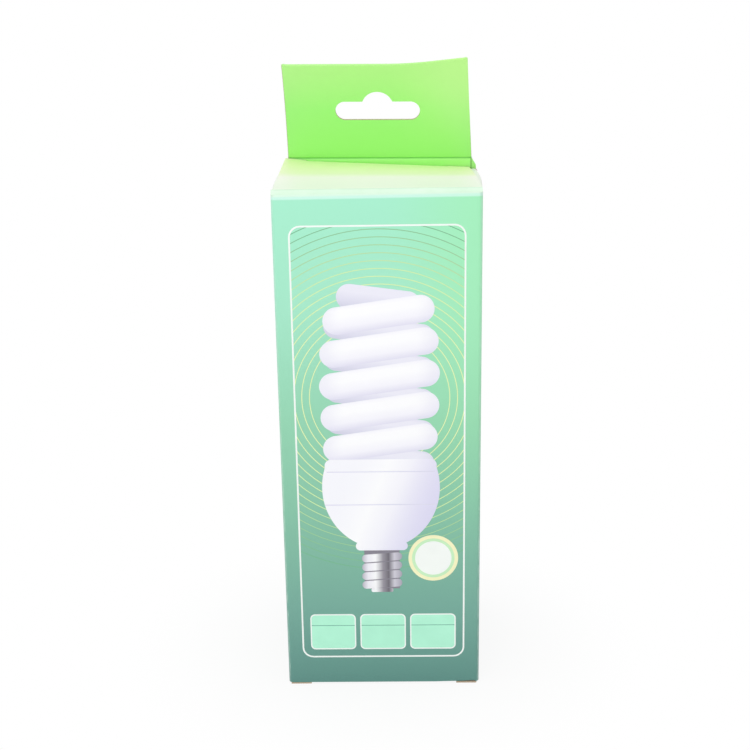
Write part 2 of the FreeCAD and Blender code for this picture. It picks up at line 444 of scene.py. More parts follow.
bmesh.ops.bevel(bm, geom=uprights, offset=fold_radius, offset_type="OFFSET", segments=6,
                profile=0.5, affect="EDGES", material=-1)
turn_out(bm, lambda face: face.calc_center_median().y, (0, -1, 0))
print("wall strip:", len(bm.faces), "faces before it is cut into cells")

# %% Wall edges
edge_gap = 0.1 * mm
fold_start = height - fold_radius - edge_gap
front_foot = board + edge_gap
back_foot = fold_radius + edge_gap


def run_on(bm, level, y, new_level):
    """Take a flat wall's edge on to another level."""
    edges = [edge for edge in bm.edges
             if all(abs(v.co.z - level) < touching and abs(v.co.y - y) < touching for v in edge.verts)]
    made = bmesh.ops.extrude_edge_only(bm, edges=edges)
    bmesh.ops.translate(bm, verts=new_verts(made), vec=(0, 0, new_level - level))


def run_corners(bm, level, new_level):
    """Take the front's two rounded corners on to the level where the lid's fold begins."""
    edges = [edge for edge in bm.edges if len(edge.link_faces) == 1
             and all(abs(v.co.z - level) < touching and v.co.y < -seam + touching for v in edge.verts)]
    made = bmesh.ops.extrude_edge_only(bm, edges=edges)
    bmesh.ops.translate(bm, verts=new_verts(made), vec=(0, 0, new_level - level))


run_on(bm, wall_top, -half_depth, fold_start)
run_on(bm, wall_bottom, -half_depth, front_foot)
run_on(bm, wall_bottom, half_depth, back_foot)
run_corners(bm, wall_top, fold_start)
run_corners(bm, wall_bottom, front_foot)
print("the front runs on from", round(wall_top / mm, 2), "to", round(fold_start / mm, 2), "mm")

# %% Wall bow
rear_spread = 2.2 * mm
side_belly = 0.5 * mm
side_bow = 0.4 * mm
back_bow = 0.5 * mm
press_depth = 1.3 * mm
corner_lift = 0.5 * mm
cut_across(bm, "Z", spaced(wall_bottom, wall_top, 24))
cut_across(bm, "Z", [wall_top - 1.5 * mm, wall_top - 4 * mm])
cut_across(bm, "Y", spaced(-seam, seam, 9))
cut_across(bm, "X", spaced(-half_width + fold_radius, half_width - fold_radius, 9))


def spread(co):
    """How far a side wall stands out, more and more towards its top and the rear."""
    along = clamp((co.y + seam) / (2 * seam))
    out = rear_spread * along + side_belly * math.sin(math.pi * along)
    return out * clamp(co.z / wall_top)


def pressed(co):
    """How far the lid's low rear corner has pressed the board down."""
    beside = ramp(co.x, 14 * mm, 28 * mm) * ramp(co.y, 33.0 * mm, 31.8 * mm)
    along = ramp(co.y, 2 * mm, 30 * mm) * ramp(co.z, 165 * mm, 181 * mm)
    return press_depth * beside * along


for vert in bm.verts:
    up = math.sin(math.pi * clamp((vert.co.z - wall_bottom) / (wall_top - wall_bottom)))
    if abs(vert.co.x) > half_width - 0.6 * mm and abs(vert.co.y) < seam - 0.1 * mm:
        across = math.cos(math.pi * vert.co.y / (2 * seam))
        vert.co.x += math.copysign(side_bow * up * across, vert.co.x)
    if vert.co.y > half_depth - 0.1 * mm and abs(vert.co.x) < half_width - fold_radius - 0.1 * mm:
        vert.co.y += back_bow * up * math.cos(math.pi * vert.co.x / (2 * half_width))
    if vert.co.y < -half_depth + touching and vert.co.z < 1 * mm:
        vert.co.z += corner_lift * ramp(vert.co.x, 24 * mm, 31 * mm)
    vert.co.x += spread(vert.co) * clamp(vert.co.x / (half_width - 2 * mm), -1.0)
    vert.co.z -= pressed(vert.co)
thicken(bm, board)
walls = to_piece("walls", bm, board_sides)
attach(walls, "carton")
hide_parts("carton_body")

# %% [markdown]
# ## Dust flaps
# A narrow flap folds in from each side wall under each lid. It starts as the wall's top edge, spin rolls
# that edge over the fold, and extruding it twice makes the shoulder and the tapered tip. The flap is
# printed only near its fold, as print runs a little past a fold and then stops.

# %% Flap finish
def flap_paint(tree, spot):
    axes = add_node(tree, "SeparateXYZ", {0: spot}).outputs
    side = calculate(tree, "ABSOLUTE", axes["X"])
    wobble = calculate(tree, "MULTIPLY", speckle(tree, spot, 260.0), 0.5 * mm)
    bleed = fade(tree, calculate(tree, "ADD", side, wobble), 29.9 * mm, 30.2 * mm)
    clouds = speckle(tree, spot, 700.0, 4.0)
    coated = blend_inks(tree, clouds, [(0.3, ink(226, 226, 218)), (0.7, ink(240, 240, 234))])
    # Near the fold the lower flaps take the wall's dark print and the upper flaps a pale one. The pale one
    # is painted lighter still, as painted light against the lid's shade.
    upper = fade(tree, axes["Z"], 80 * mm, 100 * mm)
    printed_and_lit_ink = mix_inks(tree, upper, ink(87, 139, 130), ink(246, 255, 241))
    return mix_inks(tree, bleed, coated, printed_and_lit_ink)


flap_print_and_light = board_finish("flap print and painted light", flap_paint, 0.45, 0.06)
print("finish:", flap_print_and_light.name)

# %% Dust flap sheets
hinge_side = -31.12 * mm
tuck_side = 28.6 * mm
dust_rear = 31.7 * mm
shoulder = -27.9 * mm
dust_length = 26 * mm
dust_taper = math.radians(9)
dust_corner = 3 * mm
dust_sag = 0.05


def dust_flap(name, side, bottom):
    bm = bmesh.new()
    marks = [hinge_side, tuck_side, dust_rear]
    row = [bm.verts.new((-half_width, y, wall_top)) for y in marks]
    start = [bm.edges.new(pair) for pair in zip(row, row[1:])]
    centre = (-half_width + fold_radius, 0, wall_top)
    rolled = bmesh.ops.spin(bm, geom=start + row, cent=centre, axis=(0, 1, 0),
                            angle=math.pi / 2, steps=6)
    made = bmesh.ops.extrude_edge_only(bm, edges=new_edges(rolled, "geom_last"))
    bmesh.ops.translate(bm, verts=new_verts(made), vec=(shoulder + half_width - fold_radius, 0, 0))
    tips = [edge for edge in new_edges(made)
            if all(abs(v.co.x - shoulder) < touching and v.co.y < tuck_side + touching for v in edge.verts)]
    tip = -half_width + dust_length
    made = bmesh.ops.extrude_edge_only(bm, edges=tips)
    bmesh.ops.translate(bm, verts=new_verts(made), vec=(tip - shoulder, 0, 0))
    slope = math.tan(dust_taper)
    for vert in new_verts(made):
        vert.co.y += (tip - shoulder) * slope * (1 if vert.co.y < 0 else -1)
    corners = [vert for vert in bm.verts if abs(vert.co.x - tip) < touching]
    bmesh.ops.bevel(bm, geom=corners, offset=dust_corner, offset_type="OFFSET", segments=5,
                    profile=0.5, affect="VERTICES", material=-1)
    cut_across(bm, "Y", spaced(hinge_side, dust_rear, 9))
    for vert in bm.verts:
        inward = max(vert.co.x + half_width - fold_radius, 0.0)
        vert.co.z -= dust_sag * inward
        if not bottom:
            vert.co.x -= spread(vert.co) * (1 - ramp(inward, 0.0, 20 * mm))
    if side > 0:
        bmesh.ops.mirror(bm, geom=bm.verts[:] + bm.edges[:] + bm.faces[:], merge_dist=-1, axis="X")
        left = [vert for vert in bm.verts if vert.co.x < 0]
        bmesh.ops.delete(bm, geom=left, context="VERTS")
        if not bottom:
            for vert in bm.verts:
                vert.co.z -= pressed(vert.co)
    turn_out(bm, lambda face: -face.calc_area(), (0, 0, 1))
    if bottom:
        end_for_end(bm)
    thicken(bm, board)
    flap = to_piece(name, bm, [flap_print_and_light, bare_inside, cut_edge])
    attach(flap, "carton")
    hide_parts("carton_body")


print("a dust flap is", round(dust_length / mm), "mm long")

# %% Four dust flaps
dust_flap("dust_flap_top_left", -1, False)
dust_flap("dust_flap_top_right", 1, False)
dust_flap("dust_flap_bottom_left", -1, True)
dust_flap("dust_flap_bottom_right", 1, True)

# %% [markdown]
# ## Hang tab
# The back wall runs up past the lid, folds over at the top and comes down again, so the tab is two boards
# thick. Its outline and its slot are drawn as loops of edges and filled together, which leaves the hole.
# The real one curls forward over the lid and its upper right part is bent back, so the finished sheet is
# carried round a wide arc and then bent along a diagonal.

# %% Tab finish
half_tab = 34.9 * mm
crease_skew = 0.01


def tab_paint(tree, spot):
    axes = add_node(tree, "SeparateXYZ", {0: spot}).outputs
    rise = fade(tree, axes["Z"], 186 * mm, 226 * mm)
    stops = [(0.0, ink(153, 243, 111)), (0.5, ink(160, 246, 124)), (1.0, ink(184, 248, 143))]
    colour = blend_inks(tree, rise, stops)
    # Towards the upper right the tab is painted lighter: a painted highlight where its bent-back part faces
    # up to the lamps.
    right = fade(tree, axes["X"], 0.0, 34 * mm)
    corner = calculate(tree, "MULTIPLY", right, rise)
    colour = mix_inks(tree, corner, colour, ink(194, 254, 146))
    # The crease is a dark line of painted shade. The strip below it is painted lighter, a painted highlight
    # under the crease that also cancels the lid's shade there.
    skewed = calculate(tree, "ADD", axes["Z"], calculate(tree, "MULTIPLY", axes["X"], crease_skew))
    above = calculate(tree, "SUBTRACT", skewed, crease_level - crease_skew * half_tab)
    crease_highlight = fade(tree, above, 0.2 * mm, -0.8 * mm, 0.0, 0.6)
    colour = mix_inks(tree, crease_highlight, colour, ink(174, 255, 130))
    crease_shade = fade(tree, calculate(tree, "ABSOLUTE", above), 0.45 * mm, 0.1 * mm, 0.0, 0.6)
    colour = mix_inks(tree, crease_shade, colour, ink(84, 178, 66))
    # Below the crease a painted shadow line shows where the front layer ends on the rear one.
    side = calculate(tree, "ABSOLUTE", calculate(tree, "SUBTRACT", axes["X"], 0.4 * mm))
    below = fade(tree, axes["Z"], crease_level + 0.1 * mm, crease_level - 0.5 * mm, 0.0, 0.8)
    layer_edge_shadow = fade(tree, side, 34.5 * mm, 34.85 * mm)
    layer_edge_shadow = calculate(tree, "MULTIPLY", layer_edge_shadow, fade(tree, axes["Y"], 32.9 * mm, 32.6 * mm))
    layer_edge_shadow = calculate(tree, "MULTIPLY", layer_edge_shadow, below)
    return mix_inks(tree, layer_edge_shadow, colour, ink(92, 160, 60))


tab_print_and_light = board_finish("tab print and painted light", tab_paint, 0.36)
print("finish:", tab_print_and_light.name)

# %% Tab outline
tab_low = wall_top
tab_corner = 0.6 * mm
bm = bmesh.new()
wide = Matrix.Diagonal((2 * half_tab, tab_top - tab_low, 1, 1))
bmesh.ops.create_grid(bm, x_segments=1, y_segments=1, size=0.5,
                      matrix=Matrix.Translation((0, (tab_top + tab_low) / 2, 0)) @ wide)
corners = [vert for vert in bm.verts if vert.co.y > crease_level]
bmesh.ops.bevel(bm, geom=corners, offset=tab_corner, offset_type="OFFSET", segments=4,
                profile=0.5, affect="VERTICES", material=-1)
bmesh.ops.delete(bm, geom=bm.faces[:], context="FACES_ONLY")
print("tab outline:", len(bm.edges), "edges")

# %% Slot
slot_half = 16 * mm
slot_radius = 3.6 * mm
slot_rise = 14.7 * mm
hump_half = 5.6 * mm
hump_rise = 3.9 * mm
hump_radius = 5.97 * mm
slot_middle = crease_level + slot_rise + slot_radius
# Turned by half a step, the circle has no point on its middle line, and its halves can be drawn apart.
half_step = Matrix.Rotation(math.pi / 32, 4, "Z")
slot = bmesh.ops.create_circle(bm, segments=32, radius=slot_radius,
                               matrix=Matrix.Translation((0, slot_middle, 0)) @ half_step)["verts"]
for vert in slot:
    vert.co.x += math.copysign(slot_half - slot_radius, vert.co.x)
upper_side = [edge for edge in bm.edges if edge.verts[0] in slot and edge.calc_length() > 20 * mm
              and edge.verts[0].co.y > slot_middle]
cut = bmesh.ops.subdivide_edges(bm, edges=upper_side, cuts=60)
hump_centre = slot_middle + slot_radius + hump_rise - hump_radius
for vert in new_verts(cut, "geom_inner"):
    if abs(vert.co.x) < hump_half:
        vert.co.y = hump_centre + math.sqrt(hump_radius ** 2 - vert.co.x ** 2)
bmesh.ops.triangle_fill(bm, use_beauty=True, edges=bm.edges[:], normal=(0, 0, 1))
print("tab:", len(bm.faces), "triangles round the slot")

# %% Tab thickness and crease
crease_half = 0.5 * mm
crease_depth = 0.25 * mm
over_fold = 0.45 * mm
cut_across(bm, "X", spaced(-half_tab, half_tab, 24))
cut_across(bm, "Y", spaced(crease_level, tab_top, 14))
cut_across(bm, "Y", [crease_level - crease_half, crease_level, crease_level + crease_half])
cut_across(bm, "Y", spaced(tab_low, crease_level - crease_half, 5))
bmesh.ops.rotate(bm, verts=bm.verts, cent=(0, 0, 0), matrix=Matrix.Rotation(math.pi / 2, 3, "X"))
bmesh.ops.translate(bm, verts=bm.verts, vec=(0, tab_face, 0))
turn_out(bm, lambda face: -face.calc_area(), (0, -1, 0))
for vert in bm.verts:
    if abs(vert.co.z - crease_level) < touching:
        vert.co.y += crease_depth
thicken(bm, 2 * board)
folded_over = [edge for edge in bm.edges
               if all(abs(vert.co.z - tab_top) < touching for vert in edge.verts)
               and abs(edge.verts[0].co.y - edge.verts[1].co.y) < touching]
bmesh.ops.bevel(bm, geom=folded_over, offset=over_fold, offset_type="OFFSET", segments=3,
                profile=0.5, affect="EDGES", material=-1)
print("tab:", len(bm.faces), "faces in two layers")

# %% Tab bend
tab_bend = 72 * mm
bend_centre = tab_face - tab_bend
fold_angle = math.radians(15.2)
fold_length = 14 * mm
fold_top = Vector((11.1, 40.2)) * mm
fold_side = Vector((34.9, 9.9)) * mm
fold_line = (fold_side - fold_top).normalized()
fold_across = Vector((-fold_line.y, fold_line.x))
sharpness = fold_length / fold_angle
side_lean = 0.027
lean_start = 2.8 * mm


def curled(co):
    """Curl the tab forward from the lid's level, and bend its upper right part back."""
    rise = co.z - height
    layer = co.y - tab_face
    beyond = (Vector((co.x, rise)) - fold_top).dot(fold_across) + fold_length / 2
    angle = clamp(beyond, 0.0, fold_length) / sharpness
    straight = max(beyond - fold_length, 0.0)
    back = sharpness * (1 - math.cos(angle)) + straight * math.sin(angle) + layer * math.cos(angle)
    reach = sharpness * math.sin(angle) + straight * math.cos(angle) - layer * math.sin(angle)
    flat = Vector((co.x, rise)) + fold_across * (reach - max(beyond, 0.0))
    turn = max(flat.y, 0.0) / tab_bend
    y = bend_centre + (tab_bend + back) * math.cos(turn)
    z = height + (tab_bend + back) * math.sin(turn) + min(flat.y, 0.0)
    return Vector((flat.x - side_lean * max(flat.y - lean_start, 0.0), y, z))


print("the tab curls to a radius of", round(tab_bend / mm), "mm")

# %% Bent tab
foot_reach = 3.5 * mm
foot_spread = 0.6
layer_step = 0.25 * mm
tab_taper = 0.013
tab_shift = 0.42 * mm
for vert in bm.verts:
    low = clamp(crease_level - vert.co.z, 0.0, foot_reach)
    high = max(vert.co.z - crease_level, 0.0) / (tab_top - crease_level)
    behind = (vert.co.y - tab_face) / (2 * board)
    if abs(vert.co.x) > half_tab - 0.1 * mm:
        vert.co.x += math.copysign(layer_step * behind, vert.co.x)
    vert.co.x *= 1 + foot_spread * low * behind / half_tab - tab_taper * high
    held = ramp(vert.co.z, tab_low, crease_level)
    vert.co = curled(vert.co)
    vert.co.x += tab_shift * held
    vert.co.z -= crease_skew * (vert.co.x + half_tab) * held
for face in [face for face in bm.faces if face.material_index == cut_slot]:
    level = face.calc_center_median().z
    along_top = level > tab_top - 4 * mm and abs(face.normal.z) > 0.5
    if along_top or level < crease_level - 0.3 * mm:
        face.material_index = print_slot
tab = to_piece("hang_tab", bm, [tab_print_and_light, tab_print_and_light, cut_edge])
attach(tab, "carton")
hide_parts("carton_body")

# %% Second layer inside the back wall
inner_width = 66 * mm
inner_low = crease_level - 20 * mm
bm = bmesh.new()
wide = Matrix.Diagonal((inner_width, tab_low - inner_low, 1, 1))
upright = Matrix.Rotation(math.pi / 2, 4, "X")
middle = Matrix.Translation((0, tab_face, (tab_low + inner_low) / 2))
bmesh.ops.create_grid(bm, x_segments=8, y_segments=4, size=0.5, matrix=middle @ upright @ wide)
thicken(bm, board * 0.9)
layer = to_piece("tab_inner_layer", bm, [tab_print_and_light, bare_inside, cut_edge])
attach(layer, "carton")
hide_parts("carton_body")

# %% [markdown]
# ## Lids
# A lid is a flat panel with a tuck flap that goes down behind the wall and an ear on each side of it,
# where the board is slit. The tuck is rolled over its fold by spin and pulled out straight. The bottom
# lid lies flat under the carton. The top one bows a little, as a free sheet does, and has sprung up at
# its left rear corner.

# %% Lid finish
def lid_paint(tree, spot):
    axes = add_node(tree, "SeparateXYZ", {0: spot}).outputs
    # The print is pale at the front and yellow-green towards the rear. It is painted paler still, whitest
    # in the middle, as painted light on a top face under the lamps and against the tab's shade.
    back = fade(tree, axes["Y"], -34 * mm, 30 * mm)
    stops = [
        (0.0, ink(244, 255, 237)),
        (0.34, ink(254, 255, 244)),
        (0.53, ink(243, 255, 210)),
        (1.0, ink(242, 255, 194)),
    ]
    colour = blend_inks(tree, back, stops)
    # A pale cream line runs along the lid's rear edge.
    pale_mark = fade(tree, axes["Y"], 30.9 * mm, 31.5 * mm, 0.0, 0.6)
    pale_mark = calculate(tree, "MULTIPLY", pale_mark, fade(tree, axes["Z"], 182.4 * mm, 183.6 * mm))
    return mix_inks(tree, pale_mark, colour, ink(252, 246, 214))


def base_paint(tree, spot):
    clouds = speckle(tree, spot, 30.0, 2.0)
    return blend_inks(tree, clouds, [(0.3, ink(86, 140, 128)), (0.7, ink(94, 150, 137))])


def fold_highlight_paint(tree, spot):
    # The fold is painted pale mint all over: a painted highlight of the rounded fold between the wall and
    # the lid.
    clouds = speckle(tree, spot, 160.0)
    return blend_inks(tree, clouds, [(0.3, ink(218, 246, 221)), (0.7, ink(225, 251, 228))])


lid_print_and_light = board_finish("lid print and painted light", lid_paint, 0.46)
fold_highlight_finish = board_finish("fold painted highlight", fold_highlight_paint, 0.5)
base_print = board_finish("base print", base_paint)
print("finishes:", [finish.name for finish in (lid_print_and_light, fold_highlight_finish, base_print)])

# %% Lid sheet
tuck_half = 27.1 * mm
tuck_length = 15 * mm
tuck_corner = 9 * mm
tuck_round = 0.36
tuck_spare_lean = math.radians(1.5)
tuck_steps = 4


def lid_sheet(fold_edge, ear_edge, lid_half):
    bm = bmesh.new()
    near = -half_depth + fold_radius
    far = fold_edge - 2 * fold_radius
    wide = Matrix.Diagonal((2 * lid_half, far - near, 1, 1))
    place = Matrix.Translation((0, (near + far) / 2, height))
    bmesh.ops.create_grid(bm, x_segments=1, y_segments=1, size=0.5, matrix=place @ wide)
    cut_across(bm, "X", [-tuck_half, tuck_half] + spaced(-tuck_half, tuck_half, 18))
    cut_across(bm, "Y", spaced(near, far, 14))
    rear = [edge for edge in bm.edges if all(abs(v.co.y - far) < touching for v in edge.verts)]
    ears = [edge for edge in rear if abs(edge.verts[0].co.x + edge.verts[1].co.x) / 2 > tuck_half]
    tuck = [edge for edge in rear if edge not in ears]
    made = bmesh.ops.extrude_edge_only(bm, edges=ears)
    bmesh.ops.translate(bm, verts=new_verts(made), vec=(0, ear_edge - far, 0))
    lean = math.asin(tuck_length / (2 * (fold_edge + half_depth))) + tuck_spare_lean
    reach = fold_radius * math.tan((math.pi / 2 + lean) / 2)
    made = bmesh.ops.extrude_edge_only(bm, edges=tuck)
    bmesh.ops.translate(bm, verts=new_verts(made), vec=(0, fold_edge - reach - far, 0))
    edge_row = [edge for edge in new_edges(made)
                if all(abs(v.co.y - fold_edge + reach) < touching for v in edge.verts)]
    row = list({vert for edge in edge_row for vert in edge.verts})
    centre = (0, fold_edge - reach, height - fold_radius)
    rolled = bmesh.ops.spin(bm, geom=edge_row + row, cent=centre, axis=(1, 0, 0),
                            angle=-(math.pi / 2 + lean), steps=8)
    last = new_edges(rolled, "geom_last")
    down = Vector((0, -math.sin(lean), -math.cos(lean)))
    for step in range(tuck_steps):
        made = bmesh.ops.extrude_edge_only(bm, edges=last)
        bmesh.ops.translate(bm, verts=new_verts(made), vec=down * (tuck_length - reach) / tuck_steps)
        ends = new_verts(made)
        last = [edge for edge in new_edges(made) if all(vert in ends for vert in edge.verts)]
    for vert in ends:
        over = clamp(abs(vert.co.x) - (tuck_half - tuck_corner), 0.0, 0.999 * tuck_corner)
        vert.co -= down * (tuck_corner - math.sqrt(tuck_corner ** 2 - over ** 2)) * tuck_round
    turn_out(bm, lambda face: -face.normal.z ** 2 * face.calc_area(), (0, 0, 1))
    return bm


print("a tuck is", round(tuck_length / mm), "mm long")

# %% Top lid
top_lid_half = 35.0 * mm
tuck_gap = 0.4 * mm
rear_lift = 0.55 * mm
twist_slope = 0.0525
sprung_corner = 0.6 * mm
lid_belly = 0.6 * mm
lid_shift = 0.25 * mm
lid_shear = 0.9 * mm


def lifted(co):
    """How far the top lid stands off its flat place: sprung at the left, low at the right."""
    along = clamp((co.y + 32 * mm) / (64 * mm))
    sprung = sprung_corner * ramp(co.x, -29 * mm, -34.6 * mm)
    twist = (rear_lift - twist_slope * co.x + sprung) * along ** 1.6
    return twist + lid_belly * math.sin(math.pi * along)


bm = lid_sheet(tab_face - tuck_gap, tab_face - tuck_gap, top_lid_half)
for vert in bm.verts:
    vert.co.z += lifted(vert.co)
    vert.co.x += lid_shift - lid_shear * (vert.co.y + half_depth) / (2 * half_depth)
thicken(bm, board)
top_lid = to_piece("top_lid_sheet", bm, [lid_print_and_light, bare_inside, cut_edge])
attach(top_lid, "top_lid")
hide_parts("top_lid")

# %% Bottom lid
bottom_lid_half = 34.6 * mm
bm = lid_sheet(half_depth - board - tuck_gap, half_depth, bottom_lid_half)
end_for_end(bm)
thicken(bm, board)
bottom_lid = to_piece("bottom_lid_sheet", bm, [base_print, bare_inside, cut_edge])
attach(bottom_lid, "bottom_lid")
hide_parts("bottom_lid")

# %% [markdown]
# ## Folds of the lids
# Where a lid meets its wall, the board bends each time the lid moves. This strip starts on the wall,
# ends on the lid and is curved between them, but it stays in place and does not bend when a lid
# moves. Spin rolls the wall's edge over the fold.

# %% Fold strips
fold_half = 35.3 * mm


def fold_strip():
    bm = bmesh.new()
    row = [bm.verts.new((x, -half_depth, fold_start)) for x in (-fold_half, fold_half)]
    edge = bm.edges.new(row)
    made = bmesh.ops.extrude_edge_only(bm, edges=[edge])
    bmesh.ops.translate(bm, verts=new_verts(made), vec=(0, 0, edge_gap))
    level = [edge for edge in new_edges(made) if all(vert in new_verts(made) for vert in edge.verts)]
    centre = (0, -half_depth + fold_radius, height - fold_radius)
    bmesh.ops.spin(bm, geom=level + new_verts(made), cent=centre, axis=(1, 0, 0),
                   angle=-math.pi / 2, steps=8)
    cut_across(bm, "X", spaced(-fold_half, fold_half, 9))
    turn_out(bm, lambda face: face.calc_center_median().z, (0, -1, 0))
    return bm


bm = fold_strip()
thicken(bm, board)
top_fold = to_piece("top_fold", bm, [fold_highlight_finish, bare_inside, cut_edge])
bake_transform(top_fold)
bm = fold_strip()
end_for_end(bm)
thicken(bm, board)
bottom_fold = to_piece("bottom_fold", bm, board_sides)
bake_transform(bottom_fold)

# %% [markdown]
# ## Printed front
# The front carries a border line, a plain picture of a lamp in rings of light, a round badge and three
# bare fields. All of it could be worked into one shader, but fine lines blur when a shader is baked, so
# each ink is a flat shape, drawn as on paper in millimetres, stood up against the front wall and a hair
# thick. An ink that lies over another stands a little further out.

# %% Drawing helpers
def disc(bm, x, y, radius):
    place = Matrix.Translation((x * mm, y * mm, 0))
    bmesh.ops.create_circle(bm, cap_ends=True, segments=96, radius=radius * mm, matrix=place)


def ring(bm, x, y, radius, width):
    place = Matrix.Translation((x * mm, y * mm, 0))
    edges = set()
    for reach in (radius - width / 2, radius + width / 2):
        made = bmesh.ops.create_circle(bm, segments=144, radius=reach * mm, matrix=place)
        edges.update(edge for vert in made["verts"] for edge in vert.link_edges)
    bmesh.ops.bridge_loops(bm, edges=list(edges))


def field(bm, x, y, wide, high, corner):
    size = Matrix.Diagonal((wide * mm, high * mm, 1, 1))
    place = Matrix.Translation((x * mm, y * mm, 0))
    made = bmesh.ops.create_grid(bm, x_segments=1, y_segments=1, size=0.5, matrix=place @ size)
    if corner:
        bmesh.ops.bevel(bm, geom=made["verts"], offset=corner * mm, offset_type="OFFSET", segments=6,
                        profile=0.5, affect="VERTICES", material=-1)


print("shapes: disc, ring and field")

# %% More drawing helpers
def only_outline(bm, width):
    fields = bm.faces[:]
    bmesh.ops.inset_individual(bm, faces=fields, thickness=width * mm, use_even_offset=True)
    bmesh.ops.delete(bm, geom=fields, context="FACES")


def pill(bm, x, y, half_length, thickness, tilt):
    made = bmesh.ops.create_circle(bm, cap_ends=True, segments=32, radius=thickness / 2 * mm,
                                   matrix=half_step)
    for vert in made["verts"]:
        vert.co.x += math.copysign((half_length - thickness / 2) * mm, vert.co.x)
    place = Matrix.Translation((x * mm, y * mm, 0)) @ Matrix.Rotation(math.radians(tilt), 4, "Z")
    bmesh.ops.transform(bm, verts=made["verts"], matrix=place)


def trim(bm, spot, away):
    """Cut off what lies beyond a line through a spot."""
    everything = bm.verts[:] + bm.edges[:] + bm.faces[:]
    place = (spot[0] * mm, spot[1] * mm, 0)
    bmesh.ops.bisect_plane(bm, geom=everything, plane_co=place, plane_no=(*away, 0), clear_outer=True)


def print_on_front(name, bm, finish, lift):
    bmesh.ops.rotate(bm, verts=bm.verts, cent=(0, 0, 0), matrix=Matrix.Rotation(math.pi / 2, 3, "X"))
    bmesh.ops.translate(bm, verts=bm.verts, vec=(0, -half_depth - lift * mm, 0))
    bm.normal_update()
    turned = [face for face in bm.faces if face.normal.y > 0]
    bmesh.ops.reverse_faces(bm, faces=turned)
    bmesh.ops.solidify(bm, geom=bm.faces[:], thickness=lift * mm)
    piece = to_piece(name, bm, [finish])
    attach(piece, "carton")


print("shapes: outline and pill, and a trim")

# %% Inks
def plain_ink(name, *shade, change=6):
    darker = ink(*[max(level - change, 0) for level in shade])

    def paint(tree, spot):
        clouds = speckle(tree, spot, 120.0)
        return blend_inks(tree, clouds, [(0.3, darker), (0.7, ink(*shade))])
    return board_finish(name, paint)


white_ink = plain_ink("white ink", 248, 252, 248, change=4)
cream_ink = plain_ink("cream ink", 250, 247, 200)
leaf_ink = plain_ink("leaf ink", 202, 242, 196)
mint_ink = plain_ink("mint ink", 182, 247, 217)
teal_ink = plain_ink("teal ink", 104, 172, 150)
steel_ink = plain_ink("steel ink", 134, 130, 142)
lilac_ink = plain_ink("lilac ink", 224, 222, 241)
print("inks ready")

# %% [markdown]
# ## Border and fields
# A thin border with round corners goes round the front, and three bare fields stand in a row at its foot.
# They start as plain rectangles. Bevelling the corner points rounds them, and insetting a face and
# deleting its middle leaves an outline of even width.

# %% Border line
border_half = 30.0
border_low = 11.0
border_high = 173.0
border_corner = 4.0
border_line = 0.6
border_lap = 0.55
border_middle = (border_low + border_high) / 2
bm = bmesh.new()
field(bm, 0, border_middle, 2 * border_half, border_high - border_low, border_corner)
only_outline(bm, border_line)
print_on_front("print_border", bm, white_ink, 0.05)

# %% Three fields
field_places = (-18.4, 0.0, 18.4)
field_level = 21.5
field_wide = 16.4
field_high = 14.0
outline_lap = 0.4
rule_rise = 2.6
bm = bmesh.new()
for x in field_places:
    field(bm, x, field_level, field_wide, field_high, 1.6)
print_on_front("print_fields", bm, mint_ink, 0.04)
bm = bmesh.new()
for x in field_places:
    field(bm, x, field_level, field_wide + outline_lap, field_high + outline_lap, 1.8)
only_outline(bm, 0.45)
print_on_front("print_field_outlines", bm, white_ink, 0.055)
bm = bmesh.new()
for x in field_places:
    field(bm, x, field_level + rule_rise, 15.9, 0.25, 0)
print_on_front("print_field_rules", bm, teal_ink, 0.05)

# %% [markdown]
# ## Rings of light
# Fine rings spread round the lamp's head and stop at the border, pale near the lamp and darker away from
# it. Each one could be a curve with a bevel, but two circles bridged by faces are flat already and have
# fewer of them. What reaches past the border is cut off along straight lines.

# %% Rings
glow_level = 112.0
first_ring = 24.5
ring_step = 2.7
ring_width = 0.28


def ring_paint(tree, spot):
    inputs = {0: spot, 1: (0, -half_depth, glow_level * mm)}
    away = add_node(tree, "VectorMath", inputs, operation="DISTANCE").outputs["Value"]
    stops = [(0.0, ink(236, 246, 178)), (0.45, ink(216, 241, 170)), (1.0, ink(112, 182, 140))]
    return blend_inks(tree, fade(tree, away, 26 * mm, 68 * mm), stops)


ring_ink = board_finish("ring ink", ring_paint)
bm = bmesh.new()
for number in range(16):
    ring(bm, 0, glow_level, first_ring + ring_step * number, ring_width)
inside = border_half - border_lap
trim(bm, (inside, 0), (1, 0))
trim(bm, (-inside, 0), (-1, 0))
trim(bm, (0, border_high - border_lap), (0, 1))
print_on_front("print_glow_rings", bm, ring_ink, 0.02)

# %% [markdown]
# ## Badge
# The badge is three plain discs, each smaller than the one below it, so that the lower two show as rings.
# Rings cut to fit each other would leave hairlines between the inks, and discs that overlap don't.

# %% Badge
badge = (18.6, 51.0)
badge_inks = (
    ("print_badge_rim", 9.0, cream_ink, 0.045),
    ("print_badge_band", 7.7, leaf_ink, 0.06),
    ("print_badge_middle", 6.6, white_ink, 0.075),
)
for name, radius, finish, lift in badge_inks:
    bm = bmesh.new()
    disc(bm, *badge, radius)
    print_on_front(name, bm, finish, lift)

# %% [markdown]
# ## Picture of a lamp
# The picture is a plain upright drawing of a spiral lamp: a silver screw cap, a white bowl and five turns
# of tube. Every turn is a pill shape, tipped one way in front and the other way behind, as a helix looks
# from the side. Shading in the inks follows each turn, so that it looks round.

# %% Lamp inks
lamp_foot = 37.5
turn_pitch = 11.6
first_turn = lamp_foot + 58.0
tube_slope = 8.0


